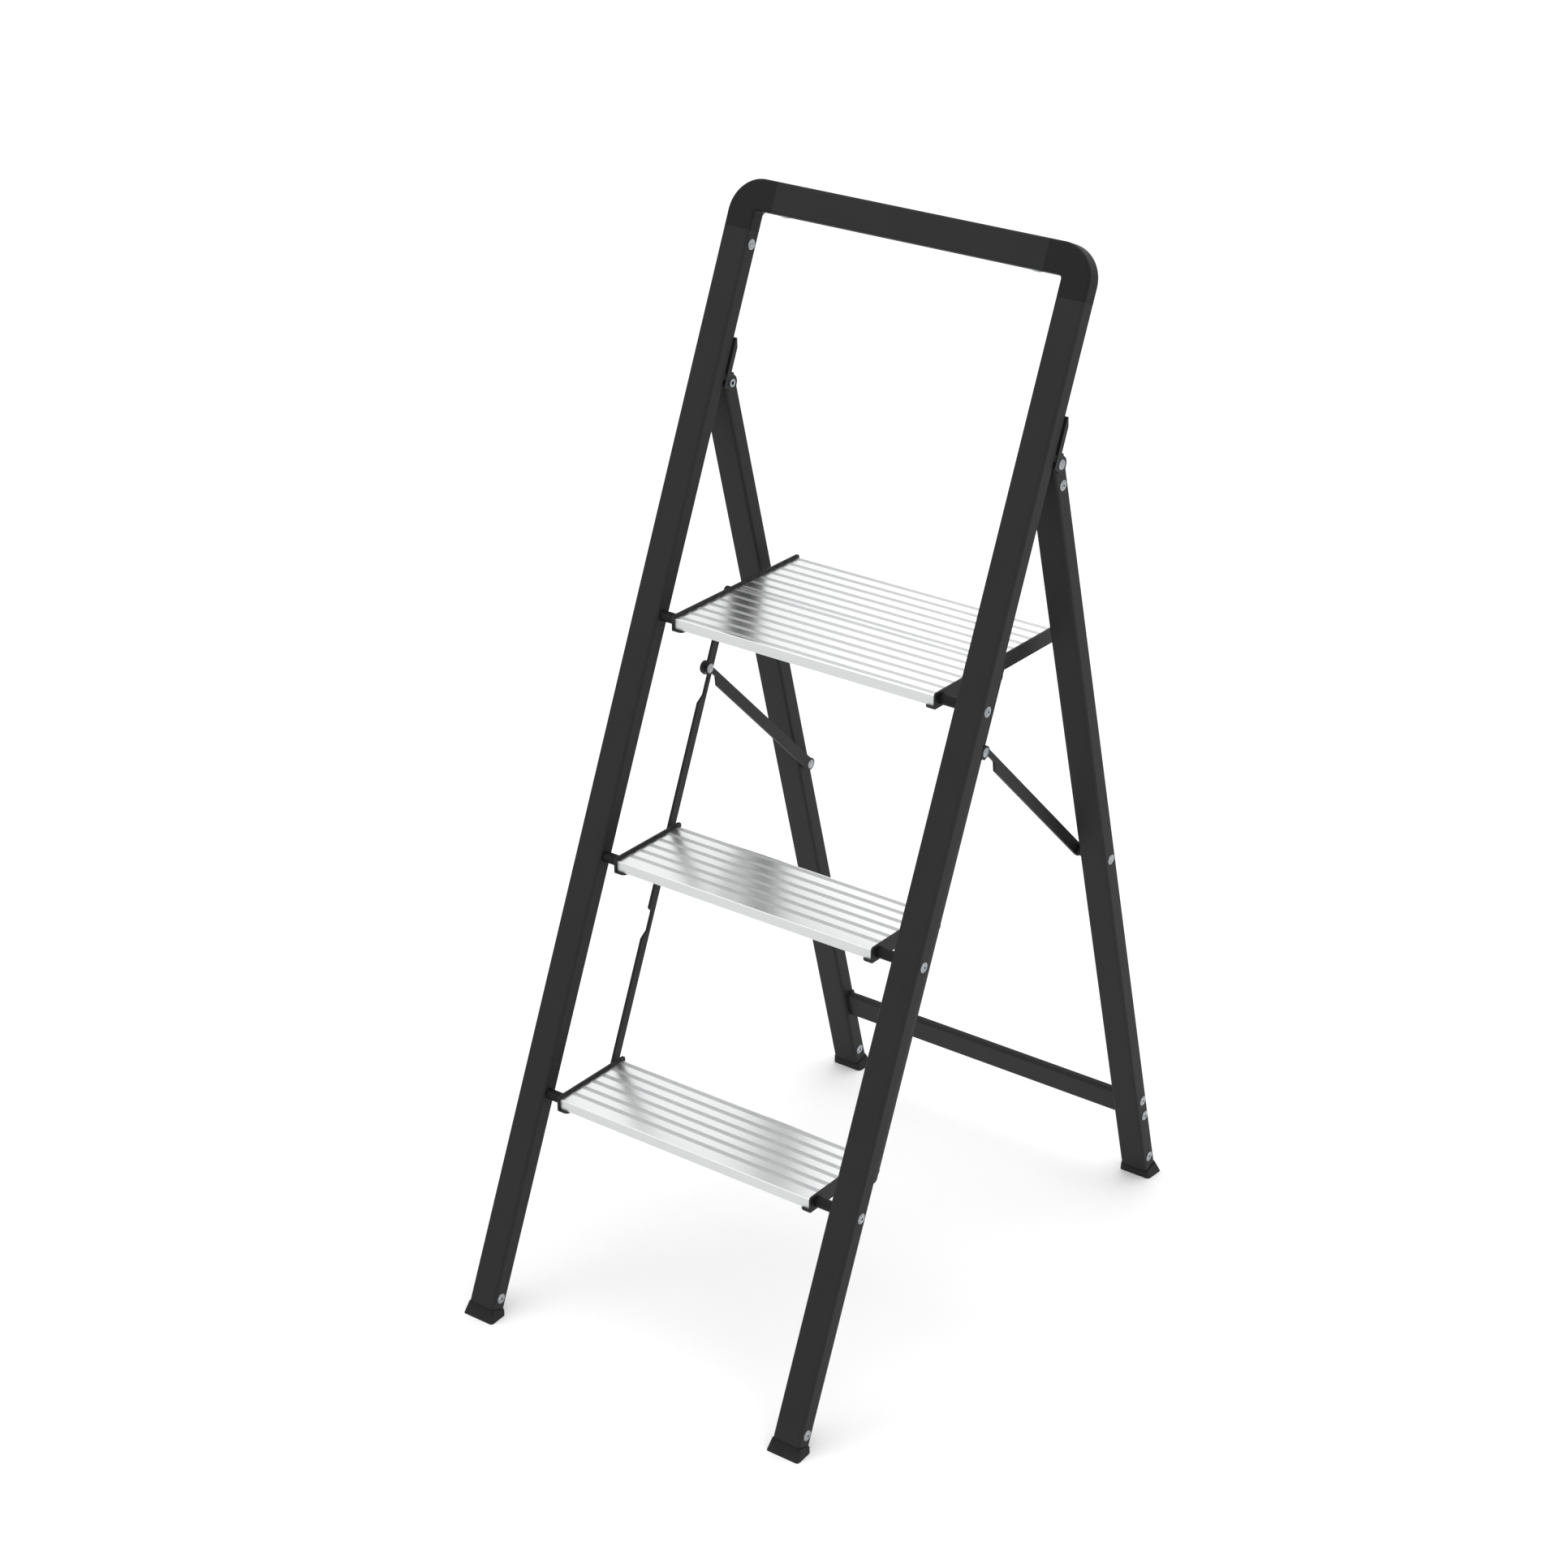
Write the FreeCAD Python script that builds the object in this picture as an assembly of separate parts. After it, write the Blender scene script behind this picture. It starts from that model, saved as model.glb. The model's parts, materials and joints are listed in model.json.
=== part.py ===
"""Folding three-tread step stool with a hand hoop. Millimetres, +Z up, front towards -Y.

The origin is on the floor, at the middle of the box round the open stool. Two leaning frames
make the stool: a front frame of two uprights joined by a hand rail, and a rear frame of two
legs joined by a crossbar. Three treads turn on axles through the uprights. A link bar on each
side holds the treads level with each other, and a strut joins it to the rear leg, so that the
treads fold up between the uprights as the rear frame closes.

Three local frames are used. A piece of the front frame is drawn as (x, depth behind the middle
of the tubes, length up the tubes from the floor), and a piece of the rear frame likewise. A
tread is drawn as (x, distance behind its axle, height above its walking surface).
"""
import FreeCAD, Part
import math
import os
from FreeCAD import Vector

# ---- overall sizes ----
overall_width = 420.0
front_lean = 22.84        # degrees from vertical, top towards the rear
rear_lean = 15.19         # degrees from vertical, top towards the front
first_tread_height = 228.0
tread_pitch = 230.0
frame_length = 1181.7     # up the front frame, from the floor to the top of the hand rail
hinge_along = 980.7       # up the front frame, to the hinge of the two frames

# ---- tubes ----
tube_width = 31.5
tube_depth = 19.0
tube_wall = 1.3
tube_corner = 3.0
frame_gap = 1.0           # between the closed frames
tube_end_gap = 5.0        # from the floor to the cut end of a tube, along the tube

# ---- treads ----
board_depth = 99.1
wide_board_depth = 102.5
board_gap = 0.5
lip_height = 11.0
board_wall = 2.0
deck_thickness = 2.2
foot_rail_width = 10.0
foot_rail_thickness = 1.5
middle_rail_width = 8.0
rib_pitch = 15.4
groove_width = 5.7
groove_depth = 0.4
groove_margin = 1.8       # plain land outside the last groove
lip_radius = 0.5
axle_drop = 5.4           # axle below the walking surface
board_front = 9.1         # board edge in front of the axle

# ---- tread brackets ----
bracket_sheet = 2.0
bracket_offset = 19.9     # bracket's outer face inside the upright
bracket_front = 11.5      # front edge ahead of the axle
bracket_tail = 4.5        # lower brackets, behind their board
wide_bracket_tail = 1.8   # top bracket, behind its boards
bracket_top = 3.3         # above the walking surface
bracket_corner = 3.5
flange_width = 13.0
flange_corner = 5.0
lobe_radius = 7.0
lobe_shoulder = 12.6      # lobe's slope starts this far ahead of the link pin
lobe_relief = 11.0        # from the link pin to the nearest flange
board_rivet_inset = 7.0   # from the bracket's outer face

# ---- link bars and struts ----
link_depth = 81.0         # bar's middle behind the middle of the uprights
link_rise = 28.0          # link pin above the axle, along the front frame
strut_drop = 73.6         # strut pivot below the top link pin, along the bar
bar_width = 10.0
bar_sheet = 3.0
bar_end = 12.4            # top of the bar above the top link pin
bar_notch_top = 4.5       # notch from here below the strut pivot, on the front edge
bar_notch_bottom = 37.0
bar_notch_ramp = 3.0
bar_notch_tail_ramp = 9.0
bar_notch_depth = 5.7
strut_above = 5.4         # strut's upper edge from its pivot line
strut_below = 6.8
strut_sheet = 3.1
strut_end_radius = 6.8
strut_notch_start = 4.2   # notch in the lower edge, from the bar's pivot
strut_notch_end = 32.6
strut_notch_floor = ((6.2, 2.4), (8.6, 0.0), (24.0, 0.2))  # (along, below the pivot line)
bar_offset = 14.3         # bar's inner face inside the upright's inner face
pivot_washer = 2.0        # between bar and strut
pivot_washer_radius = 6.4

# ---- hinge bracket ----
hinge_sheet = 1.5
hinge_side_gap = 0.3
hinge_flange_depth = 5.7  # side flange behind the upright's rear face
hinge_plate_start = 7.4   # plate's lower end above the hinge pin
hinge_plate_end = 44.4
hinge_rivet_inset = 9.25  # from each end of the plate
hinge_top_slope = 9.0
hinge_lobe_radius = 8.3
hinge_heel = 6.0          # front end of the lower edge below the pin

# ---- rear leg ----
leg_end_above_pin = 1.0
cap_height = 5.0
cap_chamfer = 3.2
cap_seat = 30.0
cap_rivet_below = 23.7
crossbar_middle = 99.0    # up the leg from the floor
crossbar_height = 32.0
crossbar_depth = 7.0
crossbar_sheet = 1.6
crossbar_bend = 3.6       # outer radius of its two bends
crossbar_tab = 12.0       # tab's rear edge behind the web's face
crossbar_rivet_pitch = 21.8
crossbar_rivet_back = 1.5  # behind the middle of the leg

# ---- feet ----
front_foot_height = 10.3
rear_foot_height = 12.0
foot_skin = 1.0           # ledge round the tube at the foot's top
foot_front_skin = 0.5     # the same on the front, which doesn't flare
foot_side_flare = 0.20
foot_rear_flare = 0.21
foot_plug = 38.0
foot_rivet_along = 22.6
rear_foot_rivet_along = 27.9
foot_corner = 3.2

# ---- hand rail and elbows ----
elbow_arm = 52.4          # from the frame's outer face to the rail's cut end
elbow_leg = 51.6          # from the top of the rail to the upright's cut end
elbow_outer_radius = 36.0
elbow_inner_radius = 4.0
elbow_spigot = 28.0
elbow_rivet_along = 64.7  # from the top of the rail down to the upright's rivet
elbow_rivet_across = 63.2
elbow_edge = 2.9
plug_wall = 3.0

# ---- fasteners ----
rivet_shank = 2.5
rivet_head = 5.4
rivet_head_height = 1.6
rivet_tail = 3.4
rivet_tail_height = 1.6
mandrel_recess = 1.2
mandrel_floor = 0.5       # metal left under the recess
head_edge_share = 0.3     # of a head's height is its upright rim
small_head_height = 1.2
pivot_head = 5.0
hinge_shank = 3.0
hinge_head = 5.0
hinge_roll = 4.3
hinge_roll_height = 1.0
hinge_hollow = 1.9
hinge_hollow_depth = 6.0
axle_tail = 3.0
axle_tail_height = 1.3
axle_spacer = 5.6
strut_spacer = 6.0

# ---- clearances ----
fit_gap = 0.1             # between a plug and the tube round it, and between faces that slide
running_gap = 0.05        # radial, between a pin and the hole that turns on it
open_pivot_gap = 0.3      # between the two halves of the strut's rear pivot
beyond = 1.0              # cuts run this far past the faces they open
bite = 0.01               # pieces fused end to end run into each other by this
near = 0.01               # edges this close to a place are at it

# ---- worked out ----
half_width = overall_width / 2
tube_inner = half_width - tube_width
tube_middle = half_width - tube_width / 2
lean = math.radians(front_lean)
rear = math.radians(rear_lean)
tread_heights = [first_tread_height + n * tread_pitch for n in range(3)]
tread_names = ["bottom", "middle", "top"]
hinge_depth = tube_depth + frame_gap
bracket_outer = tube_inner - bracket_offset
bracket_inner = bracket_outer - bracket_sheet
board_half = bracket_inner - fit_gap
bar_inner = tube_inner - bar_offset
bar_outer = bar_inner + bar_sheet
strut_inner = bar_outer + pivot_washer + fit_gap
strut_outer = strut_inner + strut_sheet
hinge_inner = tube_inner - hinge_side_gap - hinge_sheet
hinge_outer = half_width + hinge_side_gap + hinge_sheet
x_axis = Vector(1, 0, 0)


def front_to_flat(depth, along):
    # (y, z) of a point of the front frame, before the stool is centred.
    y = depth * math.cos(lean) + along * math.sin(lean)
    z = along * math.cos(lean) - depth * math.sin(lean)
    return y, z


hinge_y, hinge_z = front_to_flat(hinge_depth, hinge_along)
rear_floor_y = hinge_y + hinge_z * math.tan(rear)
hinge_up_leg = hinge_z / math.cos(rear)
front_edge = -(tube_depth / 2 + foot_front_skin) / math.cos(lean)
foot_rear_reach = tube_depth / 2 + foot_skin + foot_rear_flare * rear_foot_height
rear_edge_reach = foot_rear_reach / (1 - foot_rear_flare * math.tan(rear))
rear_edge = rear_floor_y + rear_edge_reach / math.cos(rear)
middle_y = (front_edge + rear_edge) / 2
axle_along = [(height - axle_drop) / math.cos(lean) for height in tread_heights]
top_link_along = axle_along[2] + link_rise
strut_pivot_along = top_link_along - strut_drop


def strut_pin_along_leg():
    # Distance from the hinge pin down the leg at which the strut is as long open as closed.
    fold = lean + rear
    turn = math.pi / 2 - lean
    pivot = Vector(link_depth, strut_pivot_along, 0)
    pin = Vector(hinge_depth, hinge_along, 0)
    arm = Vector(link_depth, link_rise, 0)
    turned = Vector(arm.x * math.cos(turn) - arm.y * math.sin(turn),
                    arm.x * math.sin(turn) + arm.y * math.cos(turn), 0)
    closed_pivot = pivot + turned - arm
    open_arm = pivot - pin
    closed_arm = closed_pivot - pin
    open_leg = Vector(math.sin(fold), -math.cos(fold), 0)
    closed_leg = Vector(0, -1, 0)
    change = open_arm.Length ** 2 - closed_arm.Length ** 2
    return change / (2 * (open_leg.dot(open_arm) - closed_leg.dot(closed_arm)))


strut_pin_down = strut_pin_along_leg()
strut_pin_up_leg = hinge_up_leg - strut_pin_down


# ---- placing ----
def place_front(shape):
    placed = shape.copy()
    placed.rotate(Vector(), x_axis, -front_lean)
    placed.translate(Vector(0, -middle_y, 0))
    return placed


def place_rear(shape):
    placed = shape.copy()
    placed.rotate(Vector(), x_axis, rear_lean)
    placed.translate(Vector(0, rear_floor_y - middle_y, 0))
    return placed


def place_tread(shape, n):
    axle_y, axle_z = front_to_flat(0, axle_along[n])
    placed = shape.copy()
    placed.translate(Vector(0, axle_y - middle_y, tread_heights[n]))
    return placed


def mirrored(shape):
    return shape.mirror(Vector(), x_axis)


def both_sides(shapes):
    return shapes + [mirrored(shape) for shape in shapes]


# ---- shapes ----
def box(x0, x1, y0, y1, z0, z1):
    return Part.makeBox(x1 - x0, y1 - y0, z1 - z0, Vector(x0, y0, z0))


def straight_edges(shape, direction):
    # Straight edges of a shape that run along a direction.
    picked = []
    for edge in shape.Edges:
        if edge.Curve.TypeId != "Part::GeomLine":
            continue
        run = edge.tangentAt(edge.FirstParameter)
        if abs(abs(run.dot(direction)) - 1) < 1e-6:
            picked.append(edge)
    return picked


def rounded_box(x0, x1, y0, y1, z0, z1, radius, direction):
    block = box(x0, x1, y0, y1, z0, z1)
    return block.makeFillet(radius, straight_edges(block, direction))


def plate(points, x0, x1):
    # A flat plate across X with an outline of straight sides in (y, z).
    corners = [Vector(x0, y, z) for y, z in points]
    outline = Part.makePolygon(corners + [corners[0]])
    return Part.Face(outline).extrude(Vector(x1 - x0, 0, 0))


def disc(y, z, x0, x1, radius):
    return Part.makeCylinder(radius, x1 - x0, Vector(x0, y, z), x_axis)


def ring(y, z, x0, x1, radius, bore):
    return disc(y, z, x0, x1, radius).cut(disc(y, z, x0, x1, bore))


def tube(x_middle, bottom, top):
    # Rectangular tube up the local Z, centred on a depth of 0.
    outer = rounded_box(x_middle - tube_width / 2, x_middle + tube_width / 2,
                        -tube_depth / 2, tube_depth / 2, bottom, top,
                        tube_corner, Vector(0, 0, 1))
    return outer.cut(tube_core(x_middle, bottom, top, 0))


def tube_core(x_middle, bottom, top, gap):
    # What fills a tube's bore, less a gap all round.
    inset = tube_wall + gap
    return rounded_box(x_middle - tube_width / 2 + inset, x_middle + tube_width / 2 - inset,
                       -tube_depth / 2 + inset, tube_depth / 2 - inset, bottom, top,
                       tube_corner - tube_wall, Vector(0, 0, 1))


def dome(radius, height):
    # Low dome that stands on x = 0 and bulges towards +X.
    edge = height * head_edge_share
    ball_radius = (radius ** 2 + (height - edge) ** 2) / (2 * (height - edge))
    rim = Part.makeCylinder(radius, height, Vector(), x_axis)
    ball = Part.makeSphere(ball_radius, Vector(height - ball_radius, 0, 0))
    return rim.common(ball)


def mandrel_hole():
    return Part.makeCylinder(mandrel_recess, rivet_head_height, Vector(mandrel_floor, 0, 0), x_axis)


def rivet(grip, recess=True, tail_radius=rivet_tail):
    # Blind rivet on the local X: head at x > 0, then the grip, then the upset tail.
    head = dome(rivet_head, rivet_head_height)
    shank = Part.makeCylinder(rivet_shank, grip + bite, Vector(bite, 0, 0), -x_axis)
    tail = Part.makeCylinder(tail_radius, rivet_tail_height, Vector(-grip, 0, 0), -x_axis)
    whole = head.fuse([shank, tail]).removeSplitter()
    if recess:
        whole = whole.cut(mandrel_hole())
    return whole


def moved(shape, x, y, z):
    copy = shape.copy()
    copy.translate(Vector(x, y, z))
    return copy


def facing(shape, direction):
    # Turn a fastener drawn along +X so that its head faces a direction.
    copy = shape.copy()
    copy.Placement = FreeCAD.Placement(Vector(), FreeCAD.Rotation(x_axis, direction))
    return copy


# ---- front frame ----
def upright():
    bar = tube(tube_middle, tube_end_gap, frame_length - elbow_leg)
    for along in axle_along + [foot_rivet_along]:
        bar = bar.cut(disc(0, along, tube_inner - beyond, half_width + beyond, rivet_shank))
    top_hole = frame_length - elbow_rivet_along
    bar = bar.cut(disc(0, top_hole, tube_inner - beyond, tube_middle, rivet_shank))
    for along in hinge_rivet_places():
        hole = Part.makeCylinder(rivet_shank, tube_depth, Vector(tube_middle, 0, along),
                                 Vector(0, 1, 0))
        bar = bar.cut(hole)
    return bar


def hinge_rivet_places():
    return [hinge_along + hinge_plate_start + hinge_rivet_inset,
            hinge_along + hinge_plate_end - hinge_rivet_inset]


def hand_rail():
    bottom = frame_length - tube_width
    reach = half_width - elbow_arm
    outer = rounded_box(-reach, reach, -tube_depth / 2, tube_depth / 2,
                        bottom, frame_length, tube_corner, x_axis)
    inner = rounded_box(-reach, reach, -tube_depth / 2 + tube_wall, tube_depth / 2 - tube_wall,
                        bottom + tube_wall, frame_length - tube_wall,
                        tube_corner - tube_wall, x_axis)
    rail = outer.cut(inner)
    for x in rail_rivet_places():
        rail = rail.cut(Part.makeCylinder(rivet_shank, tube_width / 2, Vector(x, 0, bottom)))
    return rail


def rail_rivet_places():
    reach = half_width - elbow_rivet_across
    return [-reach, reach]


def elbow_body():
    # The visible bend, with its outer and inner corners rounded.
    bottom = frame_length - elbow_leg
    block = box(half_width - elbow_arm, half_width, -tube_depth / 2, tube_depth / 2,
                bottom, frame_length)
    inside = box(half_width - elbow_arm - beyond, tube_inner, -tube_depth, tube_depth,
                 bottom - beyond, frame_length - tube_width)
    bend = block.cut(inside)
    for edge_x, edge_z, radius in ((half_width, frame_length, elbow_outer_radius),
                                   (tube_inner, frame_length - tube_width, elbow_inner_radius)):
        edges = [e for e in straight_edges(bend, Vector(0, 1, 0))
                 if abs(e.CenterOfMass.x - edge_x) < near and abs(e.CenterOfMass.z - edge_z) < near]
        bend = bend.makeFillet(radius, edges)
    long_edges = []
    for edge in bend.Edges:
        middle = edge.CenterOfMass
        on_face = abs(abs(middle.y) - tube_depth / 2) < near
        at_seam = (abs(middle.x - (half_width - elbow_arm)) < near
                   or abs(middle.z - bottom) < near)
        if on_face and not at_seam:
            long_edges.append(edge)
    return bend.makeFillet(elbow_edge, long_edges)


def elbow():
    bottom = frame_length - elbow_leg
    rail_end = half_width - elbow_arm
    inset = tube_wall + fit_gap
    down = tube_core(tube_middle, bottom - elbow_spigot, bottom + beyond, fit_gap)
    across = rounded_box(rail_end - elbow_spigot, rail_end + beyond,
                         -tube_depth / 2 + inset, tube_depth / 2 - inset,
                         frame_length - tube_width + inset, frame_length - inset,
                         tube_corner - tube_wall, x_axis)
    whole = elbow_body().fuse([down, across]).removeSplitter()
    hollow = inset + plug_wall
    down_bore = box(tube_inner + hollow, half_width - hollow,
                    -tube_depth / 2 + hollow, tube_depth / 2 - hollow,
                    bottom - elbow_spigot, bottom)
    across_bore = box(rail_end - elbow_spigot, rail_end,
                      -tube_depth / 2 + hollow, tube_depth / 2 - hollow,
                      frame_length - tube_width + hollow, frame_length - hollow)
    rivet_z = frame_length - elbow_rivet_along
    side_hole = disc(0, rivet_z, tube_inner, tube_middle, rivet_shank)
    under_hole = Part.makeCylinder(rivet_shank, tube_width / 2,
                                   Vector(half_width - elbow_rivet_across, 0,
                                          frame_length - tube_width))
    return whole.cut([down_bore, across_bore, side_hole, under_hole])


def elbow_rivets():
    grip = tube_wall + fit_gap + plug_wall
    side = moved(facing(rivet(grip, recess=False), -x_axis),
                 tube_inner, 0, frame_length - elbow_rivet_along)
    under = moved(facing(rivet(grip, recess=False), Vector(0, 0, -1)),
                  half_width - elbow_rivet_across, 0, frame_length - tube_width)
    return both_sides([side, under])


def foot(height, rivet_along):
    # Cap and plug on a tube's lower end, drawn past the floor, which cuts it later.
    below = tube_depth

    def outline(along, grow):
        side = tube_width / 2 + foot_skin + foot_side_flare * grow
        front = -tube_depth / 2 - foot_front_skin
        back = tube_depth / 2 + foot_skin + foot_rear_flare * grow
        block = rounded_box(tube_middle - side, tube_middle + side, front, back,
                            along, along + beyond, foot_corner, Vector(0, 0, 1))
        base = min(block.Faces, key=lambda face: face.CenterOfMass.z)
        return base.OuterWire

    shoe = Part.makeLoft([outline(height, 0), outline(-below, height + below)], True, True)
    socket = rounded_box(tube_inner, half_width, -tube_depth / 2, tube_depth / 2,
                         tube_end_gap, height + beyond, tube_corner, Vector(0, 0, 1))
    plug = tube_core(tube_middle, tube_end_gap - beyond, foot_plug, fit_gap)
    hollow = tube_wall + fit_gap + plug_wall
    bore = box(tube_inner + hollow, half_width - hollow,
               -tube_depth / 2 + hollow, tube_depth / 2 - hollow,
               tube_end_gap + plug_wall, foot_plug)
    whole = shoe.cut(socket).fuse(plug).removeSplitter().cut(bore)
    rivet_hole = disc(0, rivet_along, tube_inner - beyond, half_width + beyond, rivet_shank)
    return whole.cut(rivet_hole)


def cut_at_floor(shape):
    reach = frame_length
    centre = shape.BoundBox.Center
    ground = box(centre.x - reach, centre.x + reach, centre.y - reach, centre.y + reach, -reach, 0)
    return shape.cut(ground)


def foot_rivets(along):
    # Every foot is riveted on both sides of its tube.
    grip = tube_wall + fit_gap + plug_wall
    outer = moved(rivet(grip), half_width, 0, along)
    inner = moved(facing(rivet(grip), -x_axis), tube_inner, 0, along)
    return both_sides([outer, inner])


def axle_rivets():
    # Each goes through the upright, the spacer and the tread bracket.
    length = half_width - bracket_inner + fit_gap
    head = dome(rivet_head, rivet_head_height)
    shank = Part.makeCylinder(rivet_shank, length + bite, Vector(bite, 0, 0), -x_axis)
    tail = Part.makeCylinder(axle_tail, axle_tail_height, Vector(-length, 0, 0), -x_axis)
    axle = head.fuse([shank, tail]).removeSplitter().cut(mandrel_hole())
    return both_sides([moved(axle, half_width, 0, along) for along in axle_along])


def axle_spacers():
    start = bracket_outer + fit_gap
    return both_sides([ring(0, along, start, tube_inner, axle_spacer, rivet_shank)
                       for along in axle_along])


def hinge_bracket():
    # Sheet channel: a plate on the upright's rear face and two cheeks round the leg's top.
    face = tube_depth / 2
    start = hinge_along + hinge_plate_start
    end = hinge_along + hinge_plate_end
    flange = face + hinge_flange_depth
    lobe_foot = hinge_along - hinge_lobe_radius
    outline = [(face, hinge_along - hinge_heel), (hinge_depth, lobe_foot),
               (hinge_depth + hinge_lobe_radius, hinge_along),
               (flange, hinge_along + hinge_lobe_radius),
               (flange, end - hinge_top_slope), (face + hinge_sheet, end), (face, end)]
    cheeks = []
    for x0 in (hinge_inner, hinge_outer - hinge_sheet):
        cheek = plate(outline, x0, x0 + hinge_sheet)
        lobe = disc(hinge_depth, hinge_along, x0, x0 + hinge_sheet, hinge_lobe_radius)
        hole = disc(hinge_depth, hinge_along, x0, x0 + hinge_sheet, hinge_shank)
        cheeks.append(cheek.fuse(lobe).removeSplitter().cut(hole))
    back = box(hinge_inner, hinge_outer, face, face + hinge_sheet, start, end)
    bracket = back.fuse(cheeks).removeSplitter()
    for along in hinge_rivet_places():
        bracket = bracket.cut(Part.makeCylinder(rivet_shank, tube_depth,
                                                Vector(tube_middle, 0, along), Vector(0, 1, 0)))
    return bracket


def hinge_bracket_rivets():
    grip = hinge_sheet + tube_wall
    face = tube_depth / 2 + hinge_sheet
    one = facing(rivet(grip), Vector(0, 1, 0))
    return both_sides([moved(one, tube_middle, face, along) for along in hinge_rivet_places()])


def hinge_pins():
    # Semi-tubular rivet: dome outside, rolled hollow end inside.
    length = hinge_outer - hinge_inner
    head = dome(hinge_head, small_head_height)
    shank = Part.makeCylinder(hinge_shank, length + bite, Vector(bite, 0, 0), -x_axis)
    roll = Part.makeCylinder(hinge_roll, hinge_roll_height, Vector(-length, 0, 0), -x_axis)
    hollow = Part.makeCylinder(hinge_hollow, hinge_hollow_depth + hinge_roll_height,
                               Vector(-length + hinge_hollow_depth, 0, 0), -x_axis)
    pin = head.fuse([shank, roll]).removeSplitter().cut(hollow)
    return both_sides([moved(pin, hinge_outer, hinge_depth, hinge_along)])


# ---- rear frame ----
def rear_leg():
    top = hinge_up_leg + leg_end_above_pin
    leg = tube(tube_middle, tube_end_gap, top)
    x0 = tube_inner - beyond
    x1 = half_width + beyond
    leg = leg.cut(disc(0, hinge_up_leg, x0, x1, hinge_shank + running_gap))
    for along in (strut_pin_up_leg, rear_foot_rivet_along):
        leg = leg.cut(disc(0, along, x0, x1, rivet_shank))
    for along in crossbar_rivet_places():
        leg = leg.cut(disc(crossbar_rivet_back, along, x0, x1, rivet_shank))
    cap_rivet = hinge_up_leg - cap_rivet_below
    return leg.cut(disc(0, cap_rivet, tube_middle, x1, rivet_shank))


def crossbar_rivet_places():
    half = crossbar_rivet_pitch / 2
    return [crossbar_middle - half, crossbar_middle + half]


def leg_cap():
    # Plug in the leg's top end, chamfered where it passes the upright.
    start = hinge_up_leg + leg_end_above_pin
    block = rounded_box(tube_inner, half_width, -tube_depth / 2, tube_depth / 2,
                        start, start + cap_height, tube_corner, Vector(0, 0, 1))
    wedge = plate([(-tube_depth, start + cap_height - cap_chamfer),
                   (-tube_depth / 2, start + cap_height - cap_chamfer),
                   (-tube_depth / 2 + cap_chamfer, start + cap_height),
                   (-tube_depth / 2 + cap_chamfer, start + cap_height + beyond),
                   (-tube_depth, start + cap_height + beyond)],
                  tube_inner - beyond, half_width + beyond)
    plug = tube_core(tube_middle, start - cap_seat, start + beyond, fit_gap)
    whole = block.cut(wedge).fuse(plug).removeSplitter()
    pin_hole = disc(0, hinge_up_leg, tube_inner - beyond, half_width + beyond,
                    hinge_shank + running_gap)
    hollow = tube_wall + fit_gap + plug_wall
    bore = box(tube_inner + hollow, half_width - hollow,
               -tube_depth / 2 + hollow, tube_depth / 2 - hollow,
               start - cap_seat, hinge_up_leg - hinge_lobe_radius)
    rivet_hole = disc(0, hinge_up_leg - cap_rivet_below, tube_middle, half_width, rivet_shank)
    return whole.cut([pin_hole, bore, rivet_hole])


def leg_cap_rivets():
    grip = tube_wall + fit_gap + plug_wall
    return both_sides([moved(rivet(grip), half_width, 0, hinge_up_leg - cap_rivet_below)])


def crossbar():
    # Shallow pressed channel, open to the rear, with a tab bent back at each end.
    bottom = crossbar_middle - crossbar_height / 2
    top = crossbar_middle + crossbar_height / 2
    front = -crossbar_depth / 2
    block = box(-tube_inner, tube_inner, front, front + crossbar_depth, bottom, top)
    front_edges = [e for e in straight_edges(block, x_axis)
                   if abs(e.CenterOfMass.y - front) < near]
    block = block.makeFillet(crossbar_bend, front_edges)
    hollow = box(-tube_inner + crossbar_sheet, tube_inner - crossbar_sheet,
                 front + crossbar_sheet, crossbar_depth,
                 bottom + crossbar_sheet, top - crossbar_sheet)
    inside_edges = [e for e in straight_edges(hollow, x_axis)
                    if e.CenterOfMass.y < 0]
    hollow = hollow.makeFillet(crossbar_bend - crossbar_sheet, inside_edges)
    channel = block.cut(hollow)
    tab = box(tube_inner - crossbar_sheet, tube_inner, front + crossbar_sheet,
              front + crossbar_tab, bottom + crossbar_sheet, top - crossbar_sheet)
    channel = channel.fuse([tab, mirrored(tab)]).removeSplitter()
    for along in crossbar_rivet_places():
        channel = channel.cut(disc(crossbar_rivet_back, along, -half_width, half_width,
                                   rivet_shank))
    return channel


def crossbar_rivets():
    # Through the whole leg and the crossbar's tab.
    grip = tube_width + crossbar_sheet
    tail = crossbar_rivet_back + crossbar_depth / 2 - crossbar_sheet
    one = rivet(grip, tail_radius=min(tail, rivet_tail))
    return both_sides([moved(one, half_width, crossbar_rivet_back, along)
                       for along in crossbar_rivet_places()])


def strut_mount_pins():
    # Riveted through the leg and the spacer; the pin stops short of the strut's own stud.
    head = dome(rivet_head, rivet_head_height)
    length = half_width - strut_outer - open_pivot_gap
    shank = Part.makeCylinder(rivet_shank, length + bite, Vector(bite, 0, 0), -x_axis)
    pin = head.fuse(shank).removeSplitter()
    return both_sides([moved(pin, half_width, 0, strut_pin_up_leg)])


def strut_spacers():
    return both_sides([ring(0, strut_pin_up_leg, strut_outer + open_pivot_gap, tube_inner,
                            strut_spacer, rivet_shank)])


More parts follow.
